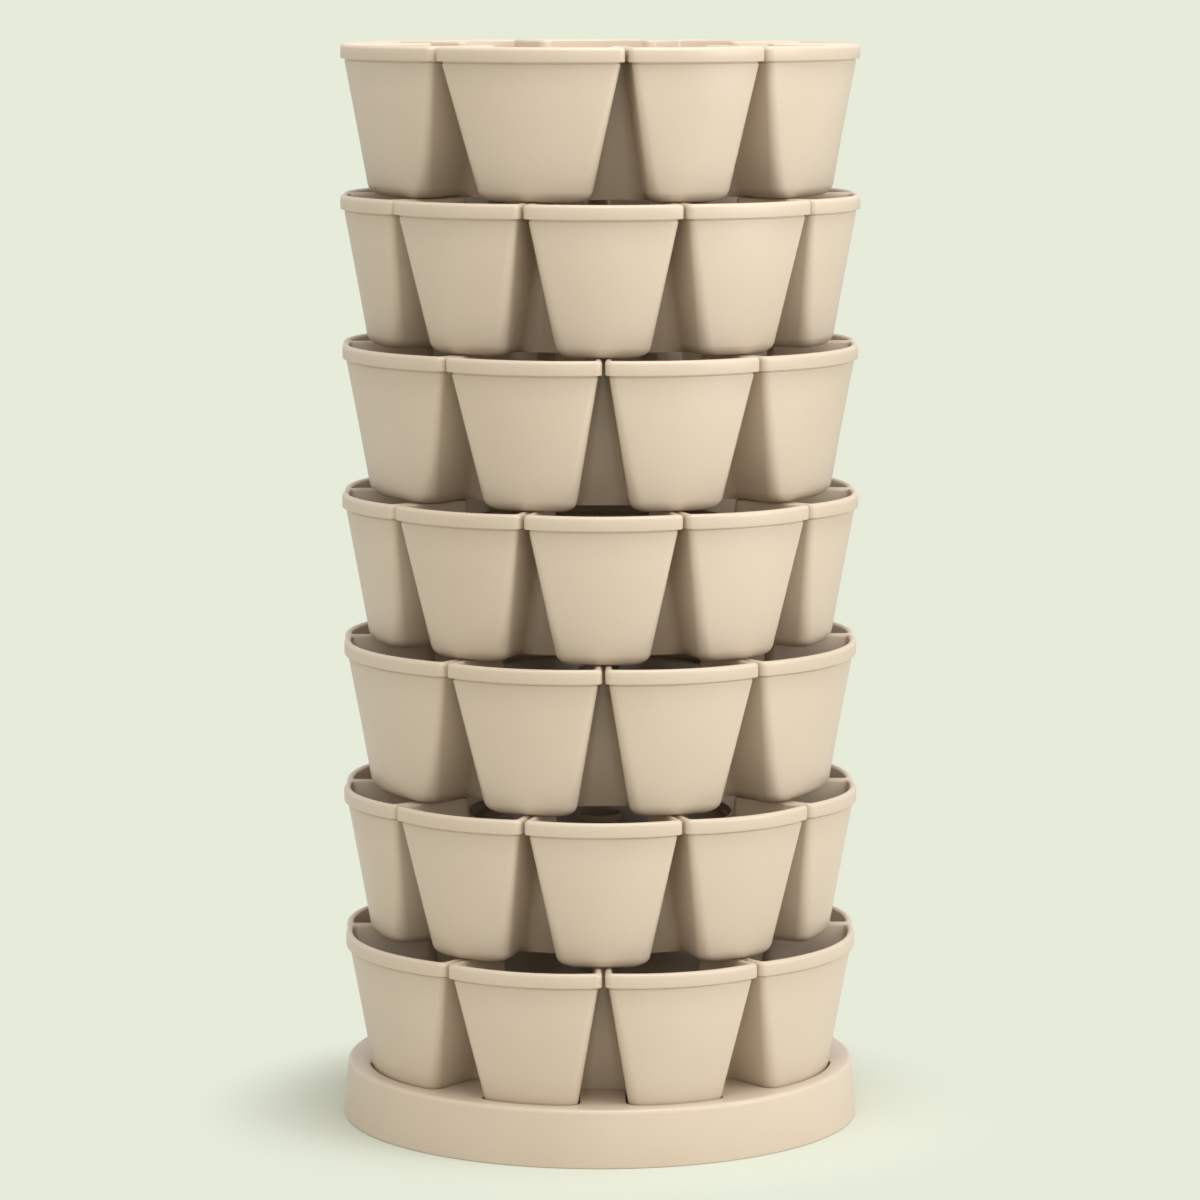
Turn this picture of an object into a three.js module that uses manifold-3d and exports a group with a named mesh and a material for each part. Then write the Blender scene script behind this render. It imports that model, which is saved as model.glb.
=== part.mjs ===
// Vertical planter tower: lobed planting tiers stacked on a round stand.
// Millimetres, +Z up, origin at the centre of the stand's foot on the floor.
// The front of the tower faces -Y.
import * as THREE from 'three';
import Module from 'manifold-3d';
import { mergeVertices } from 'three/addons/utils/BufferGeometryUtils.js';

const wasm = await Module();
wasm.setup();

// The stack
const TIER_COUNT = 7;
const SEAT_GAP = 0.3;
const CUT_OVERRUN = 1;

// How much of the turn each pocket of a tier takes. Two pockets meet in the front slot,
// a wide one at each side fills the rest of the quarter turn, and five share the back.
const QUARTER = Math.PI / 2;
const FRONT = THREE.MathUtils.degToRad(37);
const BACK_MIDDLE = THREE.MathUtils.degToRad(36);
const BACK_NEXT = THREE.MathUtils.degToRad(35);
const BACK_OUTER = QUARTER - BACK_MIDDLE / 2 - BACK_NEXT;
const BACK_POCKETS = [BACK_OUTER, BACK_NEXT, BACK_MIDDLE, BACK_NEXT, BACK_OUTER];

// Where a tier's front slot lies, and its pockets in order from there, anticlockwise
// seen from above
const LOWER_LAYOUT = {
  frontSlot: 0,
  pitches: [FRONT, QUARTER - FRONT, ...BACK_POCKETS, QUARTER - FRONT, FRONT],
};

// The top tier's front slot lies to the right, between a broad pocket on its left and a
// slim one on its right. Its back is like that of the others.
const TOP_SLOT = THREE.MathUtils.degToRad(5);
const TOP_SLIM = THREE.MathUtils.degToRad(33);
const TOP_BROAD = THREE.MathUtils.degToRad(44.5);
const TOP_LAYOUT = {
  frontSlot: TOP_SLOT,
  pitches: [
    TOP_SLIM, QUARTER - TOP_SLOT - TOP_SLIM,
    ...BACK_POCKETS,
    QUARTER + TOP_SLOT - TOP_BROAD, TOP_BROAD,
  ],
};

// One moulded tier, measured from its foot up to the crest of its rim. cornerDraw is how
// far the two ends of a pocket's front arc lie inside the reach of its middle, and
// footTaperShare how much of its half width each side of a pocket loses down to the foot.
const TIER = {
  height: 129.7,
  reach: 230,
  cornerDraw: 6,
  rimCornerRadius: 12,
  footCornerRadius: 10,
  slotWidth: 2.5,
  rimNoseReach: 150,
  footNoseReach: 142,
  noseRound: 12,
  wall: 3,
  floor: 3,
  footInset: 24,
  footTaperShare: 0.31,
  footChamfer: 6,
  bandHeight: 12.5,
  bandProud: 3,
};

// The hollow column that stands in the middle of each tier's floor
const HUB = {
  height: 92,
  footRadius: 31,
  topRadius: 26,
  boreRadius: 21,
};

// Drain holes in a tier's floor, one towards each pocket
const DRAIN = {
  radius: 4,
  ringRadius: 95,
};

// The water disc that lies on each column. Its drip holes lie on a ring that is drawn in
// from the edge by dripDraw.
const DISC = {
  radius: 118,
  plate: 2.5,
  rimHeight: 10,
  spigotLength: 10,
  spigotClearance: 0.5,
  spigotWall: 3.5,
  overflowHeight: 5.5,
  dripRadius: 3,
  dripDraw: 14,
};

// The round stand with its recess for the lowest tier. It is as wide as the tiers reach,
// less a small draw at its foot and a larger one at its top.
const STAND = {
  height: 50,
  footDraw: 1.5,
  topDraw: 5.5,
  edgeRound: 8,
  wall: 3.5,
  recessDepth: 12,
  recessClearance: 1.5,
  ribThickness: 3,
  ribCount: 8,
  ribLift: 4,
  ribHubRadius: 32,
};

// How finely the curves are divided
const SEGMENTS = {
  frontArc: 6,
  corner: 1,
  nose: 1,
  hub: 16,
  drain: 8,
  disc: 16,
  drip: 6,
  standRim: 48,
  edgeRound: 2,
};

// The beige of each kind of piece, and how matt the plastic is
const COLOUR = {
  stand: 0xd2bfa4,
  tier: 0xd6c3a8,
  disc: 0xcdb99c,
};
const ROUGHNESS = 0.42;

const PITCH = TIER.height + SEAT_GAP;
const CORNER_REACH = TIER.reach - TIER.cornerDraw;
const STAND_FOOT_RADIUS = TIER.reach - STAND.footDraw;
const STAND_TOP_RADIUS = TIER.reach - STAND.topDraw;

// Points on an arc, both ends included; angles run from the outline's own axis.
function arcPoints(centreA, centreT, radius, fromAngle, toAngle, segments) {
  const points = [];
  for (let i = 0; i <= segments; i += 1) {
    const angle = THREE.MathUtils.lerp(fromAngle, toAngle, i / segments);
    const along = centreA + radius * Math.cos(angle);
    const across = centreT + radius * Math.sin(angle);
    points.push(new THREE.Vector2(along, across));
  }
  return points;
}

// Half of one pocket, from the middle of its front round to the end of the slot
// beside it. x runs out along the pocket's axis and y across it. front and side are
// how far the walls lie inside the rim band's outer face, there and along the slots,
// and taper is how much of the foot's taper the side takes on top of that.
function halfPocket(pitch, { front, side, taper, noseReach, cornerRadius, noseRound }) {
  const cos = Math.cos(pitch / 2);
  const sin = Math.sin(pitch / 2);
  const footTaper = TIER.footTaperShare * CORNER_REACH * sin;
  const halfSlot = TIER.slotWidth / 2 + side + taper * footTaper;

  // The front arc bulges to the reach in its middle and is drawn in at its ends.
  const bulge = TIER.reach - CORNER_REACH * cos;
  const arcRadius = (bulge ** 2 + (CORNER_REACH * sin) ** 2) / (2 * bulge);
  const centre = TIER.reach - arcRadius;
  const frontRadius = arcRadius - front;

  // The corner arc touches the front arc and the side wall.
  const sideways = halfSlot + cornerRadius;
  const offset = centre * sin - sideways;
  const run = centre * cos + Math.sqrt((frontRadius - cornerRadius) ** 2 - offset ** 2);
  const cornerA = run * cos + sideways * sin;
  const cornerT = run * sin - sideways * cos;
  const meet = Math.atan2(cornerT, cornerA - centre);
  const frontArc = arcPoints(centre, 0, frontRadius, 0, meet, SEGMENTS.frontArc / 2);
  const corner = arcPoints(
    cornerA, cornerT, cornerRadius, meet, (Math.PI + pitch) / 2, SEGMENTS.corner,
  );

  // The slot between two pockets ends in a nose with its own small rounds.
  const round = Math.min(noseRound, halfSlot);
  const noseRun = noseReach + round;
  const noseSide = halfSlot - round;
  const nose = [];
  for (let i = 0; i <= SEGMENTS.nose; i += 1) {
    const turn = (Math.PI / 2) * (i / SEGMENTS.nose);
    const along = noseRun - round * Math.sin(turn);
    const across = noseSide + round * Math.cos(turn);
    nose.push(new THREE.Vector2(along * cos + across * sin, along * sin - across * cos));
  }
  return [...frontArc, ...corner.slice(1), ...nose];
}

// Which way each pocket faces, seen from above.
function pocketDirections({ frontSlot, pitches }) {
  const directions = [];
  let slot = frontSlot - QUARTER;
  for (const pitch of pitches) {
    directions.push(slot + pitch / 2);
    slot += pitch;
  }
  return directions;
}

// The whole lobed outline of a tier at one level, anticlockwise seen from above.
function tierOutline(layout, level) {
  const middle = new THREE.Vector2(0, 0);
  const directions = pocketDirections(layout);
  const outline = [];
  layout.pitches.forEach((pitch, k) => {
    const half = halfPocket(pitch, level);
    const mirrored = half.slice(1).reverse().map((p) => new THREE.Vector2(p.x, -p.y));
    for (const p of [...mirrored, ...half]) {
      outline.push(p.clone().rotateAround(middle, directions[k]));
    }
  });
  return outline;
}

// A closed skin through rings of equal count, capped at both ends.
function loft(rings) {
  const count = rings[0].outline.length;
  const positions = [];
  const index = [];
  for (const ring of rings) {
    for (const p of ring.outline) {
      positions.push(p.x, p.y, ring.z);
    }
  }
  for (let i = 0; i + 1 < rings.length; i += 1) {
    for (let j = 0; j < count; j += 1) {
      const a = i * count + j;
      const b = i * count + ((j + 1) % count);
      index.push(a, b, b + count, a, b + count, a + count);
    }
  }
  const bottom = THREE.ShapeUtils.triangulateShape(rings[0].outline, []);
  const top = THREE.ShapeUtils.triangulateShape(rings[rings.length - 1].outline, []);
  const topStart = (rings.length - 1) * count;
  for (const [a, b, c] of bottom) {
    index.push(c, b, a);
  }
  for (const [a, b, c] of top) {
    index.push(topStart + a, topStart + b, topStart + c);
  }
  const geometry = new THREE.BufferGeometry();
  geometry.setAttribute('position', new THREE.Float32BufferAttribute(positions, 3));
  geometry.setIndex(index);
  return geometry;
}

// A three.js geometry as a solid that can be joined and cut.
function solid(geometry) {
  const bare = geometry.clone();
  bare.deleteAttribute('normal');
  bare.deleteAttribute('uv');
  const merged = mergeVertices(bare);
  return new wasm.Manifold(new wasm.Mesh({
    numProp: 3,
    vertProperties: new Float32Array(merged.attributes.position.array),
    triVerts: new Uint32Array(merged.index.array),
  }));
}

// A solid back as a three.js geometry.
function geometryOf(manifold) {
  const mesh = manifold.getMesh();
  const geometry = new THREE.BufferGeometry();
  geometry.setAttribute('position', new THREE.BufferAttribute(mesh.vertProperties, 3));
  geometry.setIndex(new THREE.BufferAttribute(mesh.triVerts, 1));
  geometry.computeVertexNormals();
  return geometry;
}

// A lathed body about the Z axis; each point is [radius, height].
function turned(profile, segments) {
  const points = profile.map(([radius, height]) => new THREE.Vector2(radius, height));
  const geometry = new THREE.LatheGeometry(points, segments);
  geometry.rotateX(Math.PI / 2);
  return geometry;
}

// An upright round plug between two heights, used for bores and holes.
function plug(radius, low, high, segments, x = 0, y = 0) {
  const geometry = new THREE.CylinderGeometry(radius, radius, high - low, segments);
  geometry.rotateX(Math.PI / 2);
  geometry.translate(x, y, (low + high) / 2);
  return solid(geometry);
}

// Plugs in a ring, one towards each pocket.
function ringOfPlugs(layout, radius, ringRadius, low, high, segments) {
  return pocketDirections(layout).map((turn) => {
    const x = ringRadius * Math.cos(turn);
    const y = ringRadius * Math.sin(turn);
    return plug(radius, low, high, segments, x, y);
  });
}

// Where the outer wall lies at a height: it leans from the foot out to the band.
const DRAFT_HEIGHT = TIER.height - TIER.bandHeight;

function wallAt(z) {
  const share = z / DRAFT_HEIGHT;
  return {
    front: THREE.MathUtils.lerp(TIER.footInset, TIER.bandProud, share),
    side: TIER.bandProud * share,
    taper: 1 - share,
  };
}

// The same for the band, whose faces are upright.
function bandAt(inset) {
  return { front: inset, side: inset, taper: 0 };
}

// The outline of a tier's outer skin at a height. more draws it in further.
function skinLevel(z, wall, more) {
  const share = z / TIER.height;
  return {
    front: wall.front + more,
    side: wall.side + more,
    taper: wall.taper,
    noseReach: THREE.MathUtils.lerp(TIER.footNoseReach, TIER.rimNoseReach, share),
    cornerRadius: THREE.MathUtils.lerp(TIER.footCornerRadius, TIER.rimCornerRadius, share),
    noseRound: TIER.noseRound,
  };
}

function outerRing(layout, z, wall, more) {
  return { z, outline: tierOutline(layout, skinLevel(z, wall, more)) };
}

// The inner skin lies one wall inside the outer one.
function innerRing(layout, z, wall) {
  const level = skinLevel(z, wall, TIER.wall);
  level.noseReach -= TIER.wall;
  level.cornerRadius -= TIER.wall;
  level.noseRound += TIER.wall;
  return { z, outline: tierOutline(layout, level) };
}

// A tier: tapered pockets round an open middle, a thick rim band, a floor
// with drain holes, and the hollow column that carries the water disc.
function tierGeometry(layout) {
  const chamferTop = TIER.footChamfer;
  const shell = solid(loft([
    outerRing(layout, 0, wallAt(0), TIER.footChamfer),
    outerRing(layout, chamferTop, wallAt(chamferTop), 0),
    outerRing(layout, DRAFT_HEIGHT, wallAt(DRAFT_HEIGHT), 0),
    outerRing(layout, DRAFT_HEIGHT, bandAt(0), 0),
    outerRing(layout, TIER.height, bandAt(0), 0),
    innerRing(layout, TIER.height, bandAt(TIER.bandProud)),
    innerRing(layout, TIER.floor, wallAt(TIER.floor)),
  ]));
  const column = solid(turned([
    [0, TIER.floor / 2],
    [HUB.footRadius, TIER.floor / 2],
    [HUB.topRadius, HUB.height],
    [0, HUB.height],
  ], SEGMENTS.hub));
  const bore = plug(HUB.boreRadius, -CUT_OVERRUN, HUB.height + CUT_OVERRUN, SEGMENTS.hub);
  const drainTop = TIER.floor + CUT_OVERRUN;
  const drains = ringOfPlugs(
    layout, DRAIN.radius, DRAIN.ringRadius, -CUT_OVERRUN, drainTop, SEGMENTS.drain,
  );
  let tier = shell.add(column).subtract(bore);
  for (const drain of drains) {
    tier = tier.subtract(drain);
  }
  return geometryOf(tier);
}

// A water disc: a shallow dish with drip holes, an overflow pipe in the middle
// and a spigot that drops into the column's bore. Its z runs from the column's top.
function discGeometry(layout) {
  const spigotOuter = HUB.boreRadius - DISC.spigotClearance;
  const spigotInner = spigotOuter - DISC.spigotWall;
  const overflowOuter = spigotInner + DISC.plate;
  const plateTop = SEAT_GAP + DISC.plate;
  const rimTop = SEAT_GAP + DISC.rimHeight;
  const overflowTop = plateTop + DISC.overflowHeight;
  let disc = solid(turned([
    [spigotInner, -DISC.spigotLength],
    [spigotOuter, -DISC.spigotLength],
    [spigotOuter, SEAT_GAP],
    [DISC.radius, SEAT_GAP],
    [DISC.radius, rimTop],
    [DISC.radius - DISC.plate, rimTop],
    [DISC.radius - DISC.plate, plateTop],
    [overflowOuter, plateTop],
    [overflowOuter, overflowTop],
    [spigotInner, overflowTop],
    [spigotInner, -DISC.spigotLength],
  ], SEGMENTS.disc));
  const dripRing = DISC.radius - DISC.dripDraw;
  const holes = ringOfPlugs(
    layout, DISC.dripRadius, dripRing, 0, plateTop + CUT_OVERRUN, SEGMENTS.drip,
  );
  for (const hole of holes) {
    disc = disc.subtract(hole);
  }
  return geometryOf(disc);
}

// The recess follows the lowest tier's footprint with a clearance all round.
// grow widens it, for the wall that the stand keeps under and round it.
function recessBlock(low, high, grow) {
  const z = STAND.recessDepth;
  const spread = STAND.recessClearance + grow;
  const level = skinLevel(z, wallAt(z), -spread);
  level.noseReach += spread;
  level.cornerRadius += spread;
  level.noseRound -= STAND.recessClearance;
  const outline = tierOutline(LOWER_LAYOUT, level);
  return solid(loft([{ z: low, outline }, { z: high, outline }]));
}

// The stand: a round moulded shell, open below, with ribs under its top.
function standGeometry() {
  const recessFloor = STAND.height - STAND.recessDepth;
  const edge = [];
  for (let i = 0; i <= SEGMENTS.edgeRound; i += 1) {
    const turn = (Math.PI / 2) * (i / SEGMENTS.edgeRound);
    edge.push([
      STAND_TOP_RADIUS - STAND.edgeRound * (1 - Math.cos(turn)),
      STAND.height - STAND.edgeRound * (1 - Math.sin(turn)),
    ]);
  }
  const block = solid(turned([
    [0, 0],
    [STAND_FOOT_RADIUS, 0],
    ...edge,
    [0, STAND.height],
  ], SEGMENTS.standRim));
  const recess = recessBlock(recessFloor, STAND.height + CUT_OVERRUN, 0);
  const hollow = solid(turned([
    [0, -CUT_OVERRUN],
    [STAND_FOOT_RADIUS - STAND.wall, -CUT_OVERRUN],
    [STAND_TOP_RADIUS - STAND.wall, STAND.height - STAND.wall],
    [0, STAND.height - STAND.wall],
  ], SEGMENTS.standRim));
  const recessWall = recessBlock(recessFloor - STAND.wall, STAND.height, STAND.wall);
  let stand = block.subtract(hollow.subtract(recessWall)).subtract(recess);

  // Each rib runs from near the middle into the side wall.
  const ribInner = STAND.ribHubRadius - STAND.wall;
  const ribOuter = STAND_TOP_RADIUS - STAND.wall / 2;
  const ribTop = recessFloor - STAND.wall / 2;
  const ribHeight = ribTop - STAND.ribLift;
  for (let k = 0; k < STAND.ribCount; k += 1) {
    const rib = new THREE.BoxGeometry(ribOuter - ribInner, STAND.ribThickness, ribHeight);
    rib.translate((ribOuter + ribInner) / 2, 0, STAND.ribLift + ribHeight / 2);
    rib.rotateZ((k * 2 * Math.PI) / STAND.ribCount);
    stand = stand.add(solid(rib));
  }
  const ringWall = solid(turned([
    [ribInner, STAND.ribLift],
    [STAND.ribHubRadius, STAND.ribLift],
    [STAND.ribHubRadius, ribTop],
    [ribInner, ribTop],
    [ribInner, STAND.ribLift],
  ], SEGMENTS.hub));
  return geometryOf(stand.add(ringWall));
}

// Moulded plastic, one even beige throughout
function plastic(colour) {
  return new THREE.MeshStandardMaterial({ color: colour, roughness: ROUGHNESS, metalness: 0 });
}

function piece(name, geometry, colour) {
  const mesh = new THREE.Mesh(geometry, plastic(colour));
  mesh.name = name;
  return mesh;
}

const tower = new THREE.Group();
tower.add(piece('base_stand', standGeometry(), COLOUR.stand));

const lowerShapes = { tier: tierGeometry(LOWER_LAYOUT), disc: discGeometry(LOWER_LAYOUT) };
const topShapes = { tier: tierGeometry(TOP_LAYOUT), disc: discGeometry(TOP_LAYOUT) };
const footLevel = STAND.height - STAND.recessDepth + SEAT_GAP;
for (let n = 1; n <= TIER_COUNT; n += 1) {
  // Every second tier faces the other way, so pockets stand over the slots below.
  const level = new THREE.Group();
  level.position.z = footLevel + (n - 1) * PITCH;
  level.rotation.z = n % 2 === 0 ? Math.PI : 0;
  const shapes = n === TIER_COUNT ? topShapes : lowerShapes;
  const tier = piece(`planter_tier_${n}`, shapes.tier, COLOUR.tier);
  const disc = piece(`water_disc_${n}`, shapes.disc, COLOUR.disc);
  disc.position.z = HUB.height;
  level.add(tier, disc);
  tower.add(level);
}

export default tower;
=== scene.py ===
# %% [markdown]
# A vertical planter tower: seven lobed planting tiers on a round stand.
# The CAD model is loaded first and stays as it is. Every piece made here sits where
# a CAD node sits, rides on that node's body and replaces it in the picture.

# %% Load the frame
import math

import bmesh
import bpy
from mathutils import Matrix, Vector


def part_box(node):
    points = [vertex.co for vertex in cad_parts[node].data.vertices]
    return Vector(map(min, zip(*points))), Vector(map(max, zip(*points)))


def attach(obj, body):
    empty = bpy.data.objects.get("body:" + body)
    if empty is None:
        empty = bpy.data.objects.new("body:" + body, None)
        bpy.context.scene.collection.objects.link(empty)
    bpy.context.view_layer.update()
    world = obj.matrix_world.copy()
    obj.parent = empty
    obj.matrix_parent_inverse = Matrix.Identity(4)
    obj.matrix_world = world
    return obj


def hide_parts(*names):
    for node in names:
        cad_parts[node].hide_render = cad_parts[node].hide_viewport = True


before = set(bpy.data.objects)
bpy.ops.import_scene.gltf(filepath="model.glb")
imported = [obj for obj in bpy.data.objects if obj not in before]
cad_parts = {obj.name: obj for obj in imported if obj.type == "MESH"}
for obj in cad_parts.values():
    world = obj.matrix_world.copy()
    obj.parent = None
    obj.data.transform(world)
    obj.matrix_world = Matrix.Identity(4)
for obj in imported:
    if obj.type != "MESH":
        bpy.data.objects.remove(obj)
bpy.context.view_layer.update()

# %% [markdown]
# The sizes of the real pieces, in millimetres. They are the sizes that the CAD
# pieces have, but the corners of the rim and the top edge of the stand are drawn
# tighter, and the rounds that only a close look shows are added. Blender works in
# metres, so every mesh is scaled once, when it is finished.

# %% Sizes of a tier
MM = 0.001
QUARTER = math.pi / 2
FRONT = math.radians(37)
BACK_MIDDLE = math.radians(36)
BACK_NEXT = math.radians(35)
BACK_OUTER = QUARTER - BACK_MIDDLE / 2 - BACK_NEXT
BACK_PITCHES = [BACK_OUTER, BACK_NEXT, BACK_MIDDLE, BACK_NEXT, BACK_OUTER]

TOP_SLOT = math.radians(5)
TOP_SLIM = math.radians(33)
TOP_BROAD = math.radians(44.5)

LOWER_LAYOUT = (0, [FRONT, QUARTER - FRONT] + BACK_PITCHES + [QUARTER - FRONT, FRONT])
TOP_LAYOUT = (TOP_SLOT, [TOP_SLIM, QUARTER - TOP_SLOT - TOP_SLIM] + BACK_PITCHES
              + [QUARTER + TOP_SLOT - TOP_BROAD, TOP_BROAD])

TIER_HEIGHT = 129.7
REACH = 230
CORNER_SET_BACK = 6
CORNER_REACH = REACH - CORNER_SET_BACK
RIM_CORNER = 6
FOOT_CORNER = 10
SLOT_WIDTH = 2.5
RIM_NOSE_REACH = 150
FOOT_NOSE_REACH = 142
NOSE_ROUND = 12
WALL = 3
FLOOR = 3
FOOT_INSET = 24
FOOT_TAPER_SHARE = 0.31
BAND_HEIGHT = 12.5
BAND_PROUD = 3

FOOT_ROUND = 9
BAND_EDGE_ROUND = 1
RELIEF_HEIGHT = 3
RELIEF_DEPTH = 1
CREST_OUTER_ROUND = 3.4
CREST_INNER_ROUND = BAND_PROUD + WALL - CREST_OUTER_ROUND
FLOOR_FILLET = 5

tier_names = sorted(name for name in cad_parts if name.startswith("planter_tier_"))
print("tiers in the frame:", len(tier_names))

# %% [markdown]
# Moulded polypropylene. The colour goes right through the plastic, so nothing is
# painted: the eye sees one beige, a soft satin gloss, and the faint grain that the
# steel mould leaves. Hot plastic also flows and shrinks a little as it cools, which
# leaves broad, very shallow waves and a barely uneven tone. A plain colour would
# look like clay, so grain, waves and tone are each drawn by a noise of a real size.
# The real grain is near 0.3 mm and can't show from here, so it is drawn at 1.2 mm.
# The refractive index is the usual one. Off a fine mould the roughness is near 0.3,
# and the discs, which nobody looks at, get a duller mould.

# %% Colour and node helpers
def linear(hex_colour):
    """An sRGB hex colour as the linear colour that Blender's sockets take."""
    channels = [int(hex_colour[i:i + 2], 16) / 255 for i in (1, 3, 5)]
    return [c / 12.92 if c <= 0.04045 else ((c + 0.055) / 1.055) ** 2.4 for c in channels] + [1.0]


def add_node(tree, kind, settings=None, sockets=None):
    """Adds one node. A socket's value is a number, a colour, or another node's output."""
    node = tree.nodes.new(kind)
    for name, value in (settings or {}).items():
        setattr(node, name, value)
    for name, value in (sockets or {}).items():
        if isinstance(value, bpy.types.NodeSocket):
            tree.links.new(value, node.inputs[name])
        else:
            node.inputs[name].default_value = value
    return node


BEIGE = "#cfbea7"
PALE_BEIGE = "#d5c5af"
DEEP_BEIGE = "#c8b69e"
print("beige as linear colour:", [round(c, 3) for c in linear(BEIGE)])

# %% The moulded plastic
GRAIN_MM = 1.2
WAVE_MM = 70
TONE_MM = 150
GRAIN_DETAIL = 2
WAVE_DETAIL = 1
TONE_DETAIL = 3
GRAIN_DEPTH_MM = 0.018
WAVE_DEPTH_MM = 0.22
TONE_LOW = 0.3
TONE_HIGH = 0.7
PLASTIC_IOR = 1.49
SATIN = (0.28, 0.35)
MATT = (0.40, 0.48)


def noise(tree, place, size_mm, detail):
    """A noise whose blobs are about size_mm across on the object."""
    return add_node(tree, "ShaderNodeTexNoise", None, {
        "Vector": place, "Scale": 1 / (size_mm * MM), "Detail": detail,
    })


def moulded_polypropylene(name, body_colour, pale_colour, roughness):
    """Polypropylene, injection moulded: one colour all through, with mould grain."""
    material = bpy.data.materials.new(name)
    material.use_nodes = True
    tree = material.node_tree
    tree.nodes.clear()
    place = add_node(tree, "ShaderNodeTexCoord").outputs["Object"]
    grain = noise(tree, place, GRAIN_MM, GRAIN_DETAIL)
    wave = noise(tree, place, WAVE_MM, WAVE_DETAIL)
    tone = noise(tree, place, TONE_MM, TONE_DETAIL)
    colour = add_node(tree, "ShaderNodeValToRGB", None, {"Fac": tone.outputs["Fac"]})
    colour.color_ramp.elements[0].position = TONE_LOW
    colour.color_ramp.elements[0].color = linear(body_colour)
    colour.color_ramp.elements[1].position = TONE_HIGH
    colour.color_ramp.elements[1].color = linear(pale_colour)
    rough = add_node(tree, "ShaderNodeMapRange", None, {
        "Value": tone.outputs["Fac"], "From Min": TONE_LOW, "From Max": TONE_HIGH,
        "To Min": roughness[0], "To Max": roughness[1],
    })
    waves = add_node(tree, "ShaderNodeBump", None, {
        "Height": wave.outputs["Fac"], "Distance": WAVE_DEPTH_MM * MM, "Strength": 1.0,
    })
    skin = add_node(tree, "ShaderNodeBump", None, {
        "Height": grain.outputs["Fac"], "Distance": GRAIN_DEPTH_MM * MM, "Strength": 1.0,
        "Normal": waves.outputs["Normal"],
    })
    plastic = add_node(tree, "ShaderNodeBsdfPrincipled", None, {
        "Base Color": colour.outputs["Color"], "Roughness": rough.outputs["Result"],
        "Normal": skin.outputs["Normal"], "IOR": PLASTIC_IOR,
    })
    add_node(tree, "ShaderNodeOutputMaterial", None, {"Surface": plastic.outputs["BSDF"]})
    return material


tier_plastic = moulded_polypropylene("tier_polypropylene", BEIGE, PALE_BEIGE, SATIN)
stand_plastic = moulded_polypropylene("stand_polypropylene", BEIGE, PALE_BEIGE, SATIN)
disc_plastic = moulded_polypropylene("disc_polypropylene", DEEP_BEIGE, BEIGE, MATT)
print("materials:", [m.name for m in (tier_plastic, stand_plastic, disc_plastic)])

# %% [markdown]
# The outline of a tier, seen from above, is a ring of nine pockets. Two meet in the
# front slot, a wide one lies at each side, and five share the back. The top tier's
# front slot lies a little to the right, between a broad pocket and a slim one. Each
# pocket is a wide arc in front, a small arc at each corner and a straight side that
# runs into the slot beside it, and the slot ends in a rounded nose. The real mould
# was cut the same way, so arcs and straight lines, worked out for half a pocket and
# mirrored, fit it better than a curve drawn by eye.

# %% Half a pocket
FRONT_STEPS = 18
CORNER_STEPS = 7
NOSE_STEPS = 6


def arc(along, across, radius, start, end, steps):
    """Points on an arc, both ends included."""
    turns = [start + (end - start) * i / steps for i in range(steps + 1)]
    return [(along + radius * math.cos(t), across + radius * math.sin(t)) for t in turns]


def front_circle(pitch):
    """Centre and radius of the front arc: the full reach in its middle, less at its ends."""
    bulge = REACH - CORNER_REACH * math.cos(pitch / 2)
    radius = (bulge ** 2 + (CORNER_REACH * math.sin(pitch / 2)) ** 2) / (2 * bulge)
    return REACH - radius, radius


def half_pocket(pitch, level):
    """From the middle of a pocket's front, round its corner and in to the end of the slot."""
    front, side, taper, nose_reach, corner, nose_round = level
    cos, sin = math.cos(pitch / 2), math.sin(pitch / 2)
    centre, radius = front_circle(pitch)
    half_slot = SLOT_WIDTH / 2 + side + taper * FOOT_TAPER_SHARE * CORNER_REACH * sin
    sideways = half_slot + corner
    run = centre * cos + math.sqrt((radius - front - corner) ** 2 - (centre * sin - sideways) ** 2)
    corner_along = run * cos + sideways * sin
    corner_across = run * sin - sideways * cos
    meet = math.atan2(corner_across, corner_along - centre)
    square = (math.pi + pitch) / 2
    points = arc(centre, 0, radius - front, 0, meet, FRONT_STEPS)
    points += arc(corner_along, corner_across, corner, meet, square, CORNER_STEPS)[1:]
    nose = min(nose_round, half_slot)
    for i in range(NOSE_STEPS + 1):
        turn = QUARTER * i / NOSE_STEPS
        along = nose_reach + nose * (1 - math.sin(turn))
        across = half_slot - nose * (1 - math.cos(turn))
        points.append((along * cos + across * sin, along * sin - across * cos))
    return points


print("a front pocket's arc has a radius of", round(front_circle(FRONT)[1]), "mm")

# %% The whole outline
def pocket_directions(layout):
    """Which way each pocket faces; the first lies beside the front slot."""
    front_slot, pitches = layout
    directions, slot = [], front_slot - QUARTER
    for pitch in pitches:
        directions.append(slot + pitch / 2)
        slot += pitch
    return directions


def tier_outline(layout, level):
    """The ring of pockets, anticlockwise seen from above."""
    outline = []
    for pitch, turn in zip(layout[1], pocket_directions(layout)):
        half = half_pocket(pitch, level)
        cos, sin = math.cos(turn), math.sin(turn)
        pocket = [(x, -y) for x, y in reversed(half[1:])] + half
        outline += [(x * cos - y * sin, x * sin + y * cos) for x, y in pocket]
    return outline


rim_level = (0, 0, 0, RIM_NOSE_REACH, RIM_CORNER, NOSE_ROUND)
print("points in a tier's outline:", len(tier_outline(LOWER_LAYOUT, rim_level)))

# %% [markdown]
# Every piece here is a skin stretched over rings of points, one ring above or inside
# the last, and closed by flat faces with holes in them. Building the skin ring by
# ring keeps the faces long and clean where the plastic is straight, and small only
# where it bends. Cutting solids from each other would work too, but it leaves odd
# slivers that catch the light on a satin surface. Some points meet, as at the end of
# a slot that is as round as it is wide, and they are joined when a mesh is finished.

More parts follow.
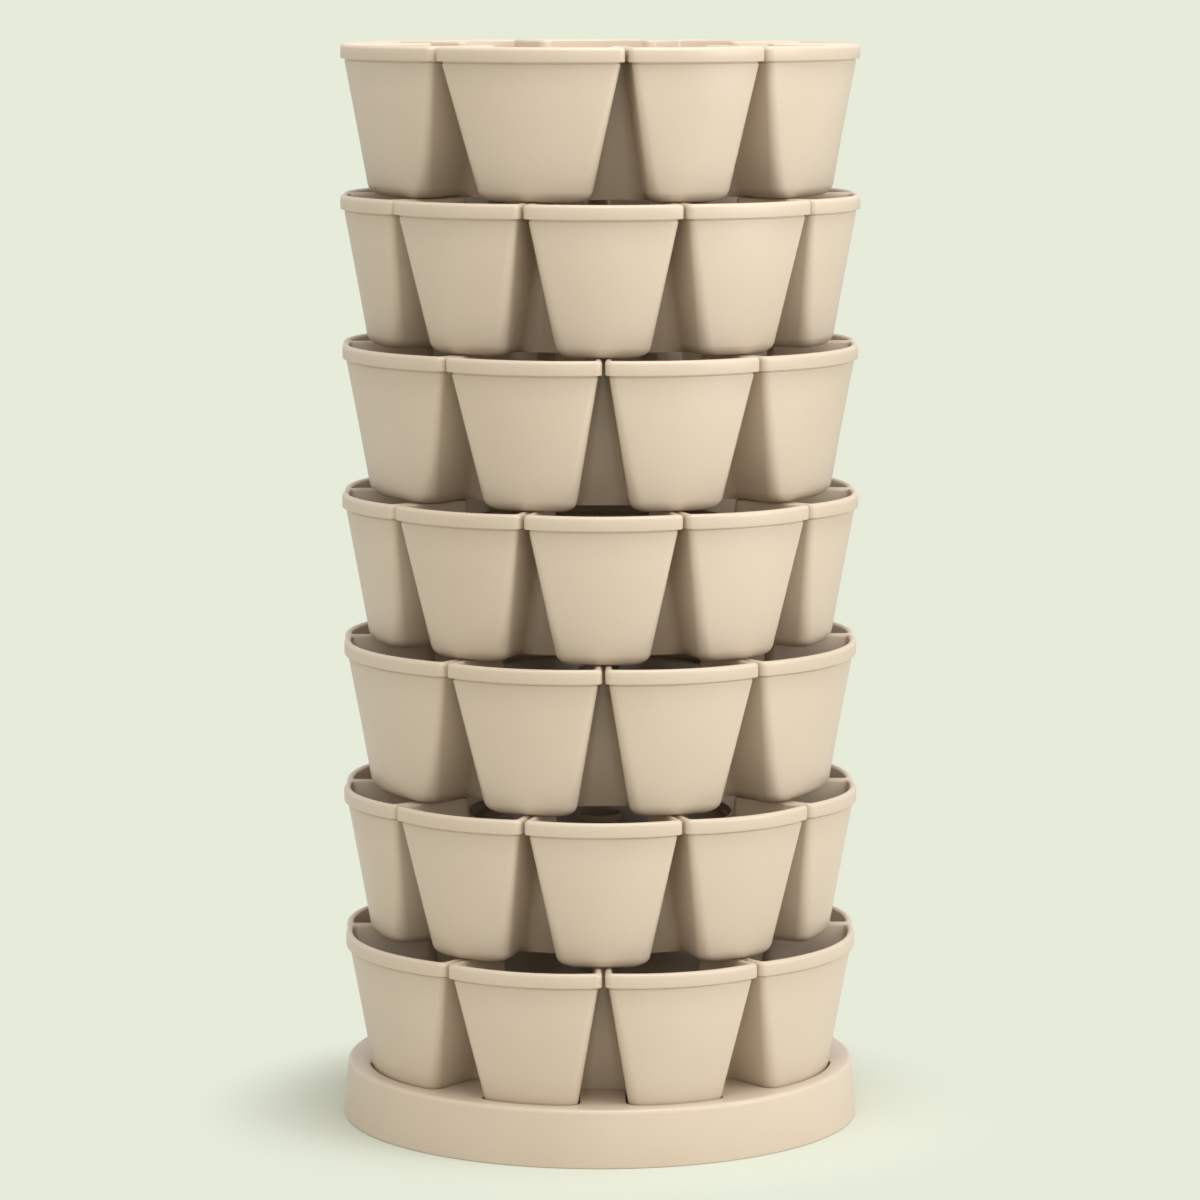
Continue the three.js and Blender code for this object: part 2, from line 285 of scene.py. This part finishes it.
# %% Ring and skin helpers
HOLE_STEPS = 20


def ring(mesh, outline, z):
    """One closed ring of points at a height."""
    return [mesh.verts.new((x, y, z)) for x, y in outline]


def circle(radius, steps, x=0, y=0):
    """A round outline."""
    turns = [2 * math.pi * i / steps for i in range(steps)]
    return [(x + radius * math.cos(t), y + radius * math.sin(t)) for t in turns]


def skin(mesh, rings):
    """Faces between each ring and the next."""
    for low, high in zip(rings, rings[1:]):
        for i in range(len(low)):
            j = (i + 1) % len(low)
            mesh.faces.new((low[i], low[j], high[j], high[i]))


def flat_face(mesh, *loops):
    """A flat face bounded by the first loop, with the other loops as holes in it."""
    edges = []
    for loop in loops:
        for i, vert in enumerate(loop):
            after = loop[(i + 1) % len(loop)]
            edge = mesh.edges.get((vert, after)) or mesh.edges.new((vert, after))
            edge.smooth = False
            edges.append(edge)
    bmesh.ops.triangle_fill(mesh, use_beauty=True, use_dissolve=False, edges=edges)


def ring_of_holes(mesh, layout, radius, ring_radius, low, high):
    """Round holes through a plate, one towards each pocket. Gives the loops of both faces."""
    below, above = [], []
    for turn in pocket_directions(layout):
        x, y = ring_radius * math.cos(turn), ring_radius * math.sin(turn)
        hole = circle(radius, HOLE_STEPS, x, y)
        pair = [ring(mesh, hole, low), ring(mesh, hole, high)]
        skin(mesh, pair)
        below.append(pair[0])
        above.append(pair[1])
    return below, above


print("points round a hole:", HOLE_STEPS)

# %% Finishing a mesh
SHARP_ANGLE = math.radians(35)
SAME_POINT = 0.001


def finished(mesh, name):
    """Joins points that meet, turns faces outwards, goes to metres and smooths the bends."""
    bmesh.ops.remove_doubles(mesh, verts=mesh.verts, dist=SAME_POINT)
    bmesh.ops.recalc_face_normals(mesh, faces=mesh.faces)
    open_edges = sum(1 for edge in mesh.edges if len(edge.link_faces) != 2)
    data = bpy.data.meshes.new(name)
    mesh.to_mesh(data)
    mesh.free()
    data.transform(Matrix.Scale(MM, 4))
    data.shade_smooth()
    data.set_sharp_from_angle(angle=SHARP_ANGLE)
    print(name, "faces:", len(data.polygons), "open edges:", open_edges)
    return data


def piece(name, data, material, body, node):
    """A finished piece that rides on a body and stands for a CAD node."""
    obj = bpy.data.objects.new(name, data)
    bpy.context.scene.collection.objects.link(obj)
    obj.data.materials.append(material)
    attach(obj, body)
    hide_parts(node)
    print(name, "rides on", body, "in place of", node)


# %% [markdown]
# A tier's wall leans outwards by about ten degrees so that it comes off the mould
# and so that tiers nest when packed. Round the top runs a thick band with a rounded
# crest: it stiffens the rim, and it is what catches the bright line of light in the
# photograph. Below, the foot is well rounded where wall and floor meet.

# %% The skins of a tier
BAND_FOOT = TIER_HEIGHT - BAND_HEIGHT
RIM_DEPTH = BAND_PROUD + WALL


def between(low, high, share):
    """The value that lies the given share of the way from low to high."""
    return low + share * (high - low)


def outer_walls(z):
    """How far the outer wall lies inside the band in front and at the slots, and its taper."""
    share = z / BAND_FOOT
    return between(FOOT_INSET, BAND_PROUD, share), BAND_PROUD * share, 1 - share


def inner_walls(z):
    """The same for the inner wall, which leans from the floor up to the crest."""
    share = (z - FLOOR) / (TIER_HEIGHT - FLOOR)
    front, side, taper = outer_walls(FLOOR)
    front_inset = between(front + WALL, RIM_DEPTH, share)
    side_inset = between(side + WALL, RIM_DEPTH, share)
    return front_inset, side_inset, taper * (1 - share)


def skin_level(z, walls, more, depth):
    """What an outline needs at a height. depth is 0 on the outer skin, 1 on the inner one."""
    share = z / TIER_HEIGHT
    front, side, taper = walls
    nose_reach = between(FOOT_NOSE_REACH, RIM_NOSE_REACH, share) - depth * WALL
    corner = between(FOOT_CORNER, RIM_CORNER, share) - depth * WALL
    return front + more, side + more, taper, nose_reach, corner, NOSE_ROUND + depth * WALL


lean = math.atan((FOOT_INSET - BAND_PROUD) / BAND_FOOT)
print("the wall leans by", round(math.degrees(lean), 1), "degrees")

# %% From the foot up to the crest and down inside
ROUND_STEPS = 5


def quarter():
    """Angles over a quarter turn."""
    return [QUARTER * i / ROUND_STEPS for i in range(ROUND_STEPS + 1)]


def tier_levels():
    """Height and outline level of each ring, up the outside and down the inside."""
    levels = []
    for t in quarter():
        z = FOOT_ROUND * (1 - math.cos(t))
        levels.append((z, skin_level(z, outer_walls(z), FOOT_ROUND * (1 - math.sin(t)), 0)))
    edge = BAND_EDGE_ROUND
    for below_band, share in ((RELIEF_HEIGHT, 0), (RELIEF_HEIGHT / 2, 0.5), (edge, 1)):
        z = BAND_FOOT - below_band
        levels.append((z, skin_level(z, outer_walls(z), share * RELIEF_DEPTH, 0)))
    band = [(BAND_FOOT, BAND_PROUD), (BAND_FOOT, edge),
            (BAND_FOOT + edge / 4, edge / 4), (BAND_FOOT + edge, 0)]
    levels += [(z, skin_level(z, (inset, inset, 0), 0, 0)) for z, inset in band]
    crest = [(TIER_HEIGHT - CREST_OUTER_ROUND * (1 - math.sin(t)),
              CREST_OUTER_ROUND * (1 - math.cos(t))) for t in quarter()]
    crest += [(TIER_HEIGHT - CREST_INNER_ROUND * (1 - math.cos(t)),
               RIM_DEPTH - CREST_INNER_ROUND * (1 - math.sin(t))) for t in quarter()[1:]]
    levels += [(z, skin_level(z, (inset, inset, 0), 0, inset / RIM_DEPTH)) for z, inset in crest]
    for t in quarter():
        z = FLOOR + FLOOR_FILLET * (1 - math.sin(t))
        levels.append((z, skin_level(z, inner_walls(z), FLOOR_FILLET * (1 - math.cos(t)), 1)))
    return levels


print("rings in a tier:", len(tier_levels()))

# %% [markdown]
# In the middle of the floor stands a hollow column, which the photograph doesn't
# show. It carries the water disc and lets the overflow run down to the next tier.
# Column, bore and drain holes are part of the same moulding, so they are rings of
# the same skin: the floor is one flat face with holes where they pass through.

# %% Sizes of the column and the drain holes
COLUMN_HEIGHT = 92
COLUMN_FOOT_RADIUS = 31
COLUMN_TOP_RADIUS = 26
BORE_RADIUS = 21
COLUMN_FILLET = 4
COLUMN_EDGE_ROUND = 1.2
COLUMN_STEPS = 64
DRAIN_RADIUS = 4
DRAIN_RING = 95

print("the column is", COLUMN_HEIGHT, "mm high, its bore", 2 * BORE_RADIUS, "mm wide")

# %% One tier
def column_rings(mesh):
    """Up the outside of the column, over its edge and down its bore."""
    draw_in = (COLUMN_FOOT_RADIUS - COLUMN_TOP_RADIUS) / COLUMN_HEIGHT
    edge = COLUMN_EDGE_ROUND
    profile = []
    for t in quarter():
        z = FLOOR + COLUMN_FILLET * (1 - math.cos(t))
        profile.append((COLUMN_FOOT_RADIUS - draw_in * z + COLUMN_FILLET * (1 - math.sin(t)), z))
    for t in quarter():
        z = COLUMN_HEIGHT - edge * (1 - math.sin(t))
        profile.append((COLUMN_FOOT_RADIUS - draw_in * z - edge * (1 - math.cos(t)), z))
    for t in quarter():
        z = COLUMN_HEIGHT - edge * (1 - math.cos(t))
        profile.append((BORE_RADIUS + edge * (1 - math.sin(t)), z))
    profile.append((BORE_RADIUS, 0))
    return [ring(mesh, circle(radius, COLUMN_STEPS), z) for radius, z in profile]


def tier_mesh(layout, name):
    """A whole tier, with its foot at zero."""
    mesh = bmesh.new()
    rings = [ring(mesh, tier_outline(layout, level), z) for z, level in tier_levels()]
    skin(mesh, rings)
    column = column_rings(mesh)
    skin(mesh, column)
    drains_below, drains_above = ring_of_holes(mesh, layout, DRAIN_RADIUS, DRAIN_RING, 0, FLOOR)
    flat_face(mesh, rings[0], column[-1], *drains_below)
    flat_face(mesh, rings[-1], column[0], *drains_above)
    return finished(mesh, name)


lower_tier_shape = tier_mesh(LOWER_LAYOUT, "lower_tier_shape")
top_tier_shape = tier_mesh(TOP_LAYOUT, "top_tier_shape")

# %% [markdown]
# The water disc is a shallow dish. Its spigot drops into the column's bore, water
# drips through nine small holes into the pockets, and what is too much goes down
# the overflow pipe in the middle. A turned profile gives it all but the holes.

# %% Sizes of a water disc
DISC_RADIUS = 118
DISC_PLATE = 2.5
DISC_RIM_HEIGHT = 10
DISC_FILLET = 3
DISC_EDGE_ROUND = DISC_PLATE / 2
DISC_STEPS = 128
SEAT_GAP = 0.3
SPIGOT_LENGTH = 10
SPIGOT_PLAY = 0.5
SPIGOT_WALL = 3.5
SPIGOT_RADIUS = BORE_RADIUS - SPIGOT_PLAY
OVERFLOW_BORE = SPIGOT_RADIUS - SPIGOT_WALL
OVERFLOW_RADIUS = OVERFLOW_BORE + DISC_PLATE
OVERFLOW_HEIGHT = 5.5
DRIP_RADIUS = 3
DRIP_INSET = 14
DRIP_RING = DISC_RADIUS - DRIP_INSET

print("a water disc is", 2 * DISC_RADIUS, "mm across")

# %% One water disc
def disc_mesh(layout, name):
    """A water disc, with the column's top at zero."""
    mesh = bmesh.new()
    plate_top = SEAT_GAP + DISC_PLATE
    rim_top = SEAT_GAP + DISC_RIM_HEIGHT
    pipe_top = plate_top + OVERFLOW_HEIGHT
    edge = DISC_EDGE_ROUND
    under = [(SPIGOT_RADIUS, SEAT_GAP), (SPIGOT_RADIUS, -SPIGOT_LENGTH),
             (OVERFLOW_BORE, -SPIGOT_LENGTH), (OVERFLOW_BORE, pipe_top - edge)]
    inside = [(OVERFLOW_BORE + edge * (1 - math.cos(t)), pipe_top - edge * (1 - math.sin(t)))
              for t in quarter()[1:]]
    outside = [(OVERFLOW_RADIUS - edge * (1 - math.sin(t)), pipe_top - edge * (1 - math.cos(t)))
               for t in quarter()[1:]]
    pipe = [ring(mesh, circle(radius, DISC_STEPS), z)
            for radius, z in under + inside + outside + [(OVERFLOW_RADIUS, plate_top)]]
    skin(mesh, pipe)
    inner_wall = DISC_RADIUS - DISC_PLATE
    dish = [(inner_wall - DISC_FILLET * (1 - math.sin(t)),
             plate_top + DISC_FILLET * (1 - math.cos(t))) for t in quarter()]
    dish += [(inner_wall + edge * (1 - math.cos(t)), rim_top - edge * (1 - math.sin(t)))
             for t in quarter()]
    dish += [(DISC_RADIUS - edge * (1 - math.sin(t)), rim_top - edge * (1 - math.cos(t)))
             for t in quarter()[1:]]
    dish += [(DISC_RADIUS - edge * (1 - math.cos(t)), SEAT_GAP + edge * (1 - math.sin(t)))
             for t in quarter()]
    rim = [ring(mesh, circle(radius, DISC_STEPS), z) for radius, z in dish]
    skin(mesh, rim)
    drips_below, drips_above = ring_of_holes(
        mesh, layout, DRIP_RADIUS, DRIP_RING, SEAT_GAP, plate_top)
    flat_face(mesh, rim[-1], pipe[0], *drips_below)
    flat_face(mesh, rim[0], pipe[-1], *drips_above)
    return finished(mesh, name)


lower_disc_shape = disc_mesh(LOWER_LAYOUT, "lower_disc_shape")
top_disc_shape = disc_mesh(TOP_LAYOUT, "top_disc_shape")

# %% [markdown]
# The lower tiers and their discs repeat, so each is a copy of one shape, set down at
# its CAD node's own height. Every second tier faces the other way, so that its
# pockets stand over the slots of the tier below. The top tier has a shape of its own.
# The place goes into the mesh, because the objects stay at the origin.

# %% Set the tiers and discs down
def placed(shape, name, turn, drop):
    """A copy of a shape, turned, with its foot at the height drop."""
    data = shape.copy()
    data.name = name
    data.transform(Matrix.Translation((0, 0, drop)) @ Matrix.Rotation(turn, 4, "Z"))
    return data


for name in tier_names:
    number = int(name.rsplit("_", 1)[1])
    turn = 0 if number % 2 else math.pi
    on_top = number == len(tier_names)
    tier_shape = top_tier_shape if on_top else lower_tier_shape
    disc_shape = top_disc_shape if on_top else lower_disc_shape
    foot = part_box(name)[0][2]
    shape = placed(tier_shape, f"tier_{number}_moulding", turn, foot)
    piece(f"tier_{number}_moulding", shape, tier_plastic, f"tier_{number}", name)
    disc_body = "top_disc" if on_top else f"tier_{number}"
    dish_name, disc_name = f"disc_{number}_dish", f"water_disc_{number}"
    dish = placed(disc_shape, dish_name, turn, foot + COLUMN_HEIGHT * MM)
    piece(dish_name, dish, disc_plastic, disc_body, disc_name)
    print(name, "foot at", round(foot / MM, 1), "mm, turned", round(math.degrees(turn)), "degrees")

# %% [markdown]
# The stand is a round shell, open below. Its top has a recess that follows the foot
# of the lowest tier with a small gap all round, the thin dark line in the photograph.
# Seen from below there are ribs, which keep such a wide thin moulding flat. The
# ribs are joined on with a Boolean, since they meet the recess at odd angles.

# %% Sizes of the stand
STAND_HEIGHT = 50
STAND_FOOT_SET_BACK = 1.5
STAND_TOP_SET_BACK = 5.5
STAND_FOOT_RADIUS = REACH - STAND_FOOT_SET_BACK
STAND_TOP_RADIUS = REACH - STAND_TOP_SET_BACK
STAND_EDGE_ROUND = 4
STAND_FOOT_ROUND = 1.2
STAND_WALL = 3.5
STAND_STEPS = 256
RECESS_DEPTH = 12
RECESS_CLEARANCE = 1.5
RECESS_LIP = 0.8

print("the stand is", 2 * STAND_FOOT_RADIUS, "mm across at the floor")

# %% The stand's shell
def recess_outline(spread):
    """The lowest tier's outline at the stand's top, grown by spread."""
    level = skin_level(RECESS_DEPTH, outer_walls(RECESS_DEPTH), -spread, 0)
    front, side, taper, nose_reach, corner, nose_round = level
    nose_round -= RECESS_CLEARANCE
    grown = (front, side, taper, nose_reach + spread, corner + spread, nose_round)
    return tier_outline(LOWER_LAYOUT, grown)


def stand_shell():
    """The stand without its ribs, open below."""
    mesh = bmesh.new()
    floor = STAND_HEIGHT - RECESS_DEPTH
    lip = [(RECESS_CLEARANCE + RECESS_LIP * (1 - math.sin(t)),
            STAND_HEIGHT - RECESS_LIP * (1 - math.cos(t))) for t in quarter()]
    lip.append((RECESS_CLEARANCE, floor))
    recess = [ring(mesh, recess_outline(spread), z) for spread, z in lip]
    skin(mesh, recess)
    foot = STAND_FOOT_ROUND
    round_side = [(STAND_TOP_RADIUS - STAND_EDGE_ROUND * (1 - math.sin(t)),
                   STAND_HEIGHT - STAND_EDGE_ROUND * (1 - math.cos(t))) for t in quarter()]
    round_side += [(STAND_FOOT_RADIUS - foot * (1 - math.cos(t)), foot * (1 - math.sin(t)))
                   for t in quarter()]
    under_top = STAND_HEIGHT - STAND_WALL
    round_side += [(STAND_FOOT_RADIUS - STAND_WALL, 0), (STAND_TOP_RADIUS - STAND_WALL, under_top)]
    side = [ring(mesh, circle(radius, STAND_STEPS), z) for radius, z in round_side]
    skin(mesh, side)
    backed = RECESS_CLEARANCE + STAND_WALL
    under = [ring(mesh, recess_outline(backed), z) for z in (under_top, floor - STAND_WALL)]
    skin(mesh, under)
    flat_face(mesh, side[0], recess[0])
    flat_face(mesh, recess[-1])
    flat_face(mesh, side[-1], under[0])
    flat_face(mesh, under[-1])
    return finished(mesh, "stand_shape")


stand_shape = stand_shell()

# %% The ribs below
RIB_COUNT = 8
RIB_THICKNESS = 3
RIB_LIFT = 4
RIB_HUB_RADIUS = 32


def rib_mesh():
    """Eight ribs from the middle out to the side wall, and the ring they spring from."""
    mesh = bmesh.new()
    top = STAND_HEIGHT - RECESS_DEPTH - STAND_WALL / 2
    inner = RIB_HUB_RADIUS - STAND_WALL
    outer = STAND_TOP_RADIUS - STAND_WALL / 2
    half = RIB_THICKNESS / 2
    hub = [ring(mesh, circle(radius, COLUMN_STEPS), z) for radius, z in
           ((inner, RIB_LIFT), (RIB_HUB_RADIUS, RIB_LIFT), (RIB_HUB_RADIUS, top), (inner, top))]
    skin(mesh, hub + hub[:1])
    for k in range(RIB_COUNT):
        turn = Matrix.Rotation(k * 2 * math.pi / RIB_COUNT, 2)
        start = inner + STAND_WALL / 2
        corners = [(start, -half), (outer, -half), (outer, half), (start, half)]
        outline = [tuple(turn @ Vector(corner)) for corner in corners]
        rib = [ring(mesh, outline, z) for z in (RIB_LIFT, top)]
        skin(mesh, rib)
        mesh.faces.new(rib[0])
        mesh.faces.new(rib[1])
    return finished(mesh, "rib_shape")


def joined(first, second, name):
    """Two closed meshes as one."""
    carrier = bpy.data.objects.new(name, first)
    other = bpy.data.objects.new(f"{name}_tool", second)
    for obj in (carrier, other):
        bpy.context.scene.collection.objects.link(obj)
    union = carrier.modifiers.new("union", "BOOLEAN")
    union.operation = "UNION"
    union.solver = "EXACT"
    union.use_self = True
    union.object = other
    bpy.context.view_layer.update()
    worked_out = carrier.evaluated_get(bpy.context.evaluated_depsgraph_get())
    result = bpy.data.meshes.new_from_object(worked_out)
    result.name = name
    for obj in (carrier, other):
        bpy.data.objects.remove(obj)
    print(name, "faces:", len(result.polygons))
    return result


stand_data = joined(stand_shape, rib_mesh(), "stand_moulding")
piece("stand_moulding", stand_data, stand_plastic, "stand", "base_stand")

# %% [markdown]
# The camera stands a little above the tower's rim and less than a degree to the left
# of its front, and looks down by a few degrees through a long lens. Its place, tilt
# and lens were fitted to the photograph's rims, to its slots and to the stand's foot,
# so a point of the model lands close to the pixel where the photograph has it.

# %% Camera
CAMERA_DISTANCE = 4.342
CAMERA_HEIGHT = 1.018
CAMERA_ASIDE = math.radians(0.8)
CAMERA_TILT = math.radians(90 - 7.342)
SENSOR_MM = 36
LENS_MM = 148.56

camera_data = bpy.data.cameras.new("camera")
camera_data.sensor_width = SENSOR_MM
camera_data.lens = LENS_MM
camera = bpy.data.objects.new("camera", camera_data)
camera.location = (-CAMERA_DISTANCE * math.sin(CAMERA_ASIDE),
                   -CAMERA_DISTANCE * math.cos(CAMERA_ASIDE), CAMERA_HEIGHT)
camera.rotation_euler = (CAMERA_TILT, 0, -CAMERA_ASIDE)
bpy.context.scene.collection.objects.link(camera)
bpy.context.scene.camera = camera
print("camera at", [round(c, 3) for c in camera.location], "lens", LENS_MM, "mm")

# %% [markdown]
# The photograph has an even, very pale green ground. A real floor under soft lamps
# is never quite even, so this one is lit only near the tower, where it takes the
# soft shadow, and goes over to the plain ground colour further out. What it throws
# back on to the plastic is nearly grey, or the beige would turn green.

# %% Floor and background
GROUND = "#e6ebda"
FLOOR_SIZE = 400
SHADOW_NEAR = 0.24
SHADOW_FAR = 0.38
FLOOR_LIT_COLOUR = "#d3d8c9"
FLOOR_BOUNCE_COLOUR = "#d7d8ce"


def ground_material():
    """Takes the shadow near the tower, and is the plain ground colour further out."""
    material = bpy.data.materials.new("studio_ground")
    material.use_nodes = True
    tree = material.node_tree
    tree.nodes.clear()
    place = add_node(tree, "ShaderNodeNewGeometry").outputs["Position"]
    flat = add_node(tree, "ShaderNodeVectorMath", {"operation": "MULTIPLY"})
    tree.links.new(place, flat.inputs[0])
    flat.inputs[1].default_value = (1, 1, 0)
    reach = add_node(tree, "ShaderNodeVectorMath", {"operation": "LENGTH"}, {
        "Vector": flat.outputs["Vector"],
    })
    away = add_node(tree, "ShaderNodeMapRange", {"interpolation_type": "SMOOTHSTEP"}, {
        "Value": reach.outputs["Value"], "From Min": SHADOW_NEAR, "From Max": SHADOW_FAR,
    })
    seen = add_node(tree, "ShaderNodeLightPath").outputs["Is Camera Ray"]
    plain = add_node(tree, "ShaderNodeMath", {"operation": "MULTIPLY"})
    tree.links.new(away.outputs["Result"], plain.inputs[0])
    tree.links.new(seen, plain.inputs[1])
    tint = add_node(tree, "ShaderNodeMixRGB", None, {
        "Fac": seen, "Color1": linear(FLOOR_BOUNCE_COLOUR), "Color2": linear(FLOOR_LIT_COLOUR),
    })
    lit = add_node(tree, "ShaderNodeBsdfDiffuse", None, {"Color": tint.outputs["Color"]})
    even = add_node(tree, "ShaderNodeEmission", None, {"Color": linear(GROUND), "Strength": 1.0})
    mixed = add_node(tree, "ShaderNodeMixShader", None, {"Fac": plain.outputs["Value"]})
    tree.links.new(lit.outputs["BSDF"], mixed.inputs[1])
    tree.links.new(even.outputs["Emission"], mixed.inputs[2])
    add_node(tree, "ShaderNodeOutputMaterial", None, {"Surface": mixed.outputs["Shader"]})
    return material


floor_mesh = bmesh.new()
bmesh.ops.create_grid(floor_mesh, x_segments=2, y_segments=2, size=FLOOR_SIZE / 2)
floor_data = bpy.data.meshes.new("studio_floor")
floor_mesh.to_mesh(floor_data)
floor_mesh.free()
floor_data.materials.append(ground_material())
studio_floor = bpy.data.objects.new("studio_floor", floor_data)
bpy.context.scene.collection.objects.link(studio_floor)
print("floor is", FLOOR_SIZE, "m across")

# %% World
WORLD_STRENGTH = 0.79
WORLD_COLOUR = "#fffefc"

world = bpy.data.worlds.new("studio_world")
world.use_nodes = True
bpy.context.scene.world = world
sky = world.node_tree
sky.nodes.clear()
seen_direct = add_node(sky, "ShaderNodeLightPath").outputs["Is Camera Ray"]
fill_light = add_node(sky, "ShaderNodeBackground", None, {
    "Color": linear(WORLD_COLOUR), "Strength": WORLD_STRENGTH,
})
backdrop = add_node(sky, "ShaderNodeBackground", None, {"Color": linear(GROUND), "Strength": 1.0})
sky_mix = add_node(sky, "ShaderNodeMixShader", None, {"Fac": seen_direct})
sky.links.new(fill_light.outputs["Background"], sky_mix.inputs[1])
sky.links.new(backdrop.outputs["Background"], sky_mix.inputs[2])
add_node(sky, "ShaderNodeOutputWorld", None, {"Surface": sky_mix.outputs["Shader"]})
print("world strength:", WORLD_STRENGTH)

# %% [markdown]
# The photograph's light comes from the right and a little above: the right part of
# each pocket is bright and the left part falls into shade. A wide soft lamp there
# gives that roll of light, a weak one behind the camera keeps the slots open, and one
# overhead draws the bright line along each rim and along the edge of the stand.

# %% Lamps
AIM = Vector((0, 0, 0.5))


def soft_lamp(name, place, width, height, watts, colour):
    """A rectangular softbox that looks at the middle of the tower."""
    data = bpy.data.lights.new(name, "AREA")
    data.shape = "RECTANGLE"
    data.size = width
    data.size_y = height
    data.energy = watts
    data.color = linear(colour)[:3]
    lamp = bpy.data.objects.new(name, data)
    lamp.location = place
    lamp.rotation_euler = (AIM - Vector(place)).to_track_quat("-Z", "Y").to_euler()
    bpy.context.scene.collection.objects.link(lamp)
    print(name, "at", place, watts, "W")


soft_lamp("key_right", (2.9, -1.5, 1.5), width=2.4, height=1.8, watts=41, colour="#f8f9ff")
soft_lamp("front_fill", (0.2, -4.6, 1.6), width=2.0, height=1.6, watts=9, colour="#ffffff")
soft_lamp("overhead", (0.3, -0.7, 2.7), width=1.6, height=1.4, watts=35, colour="#ffffff")

bpy.context.scene.view_settings.view_transform = "Standard"
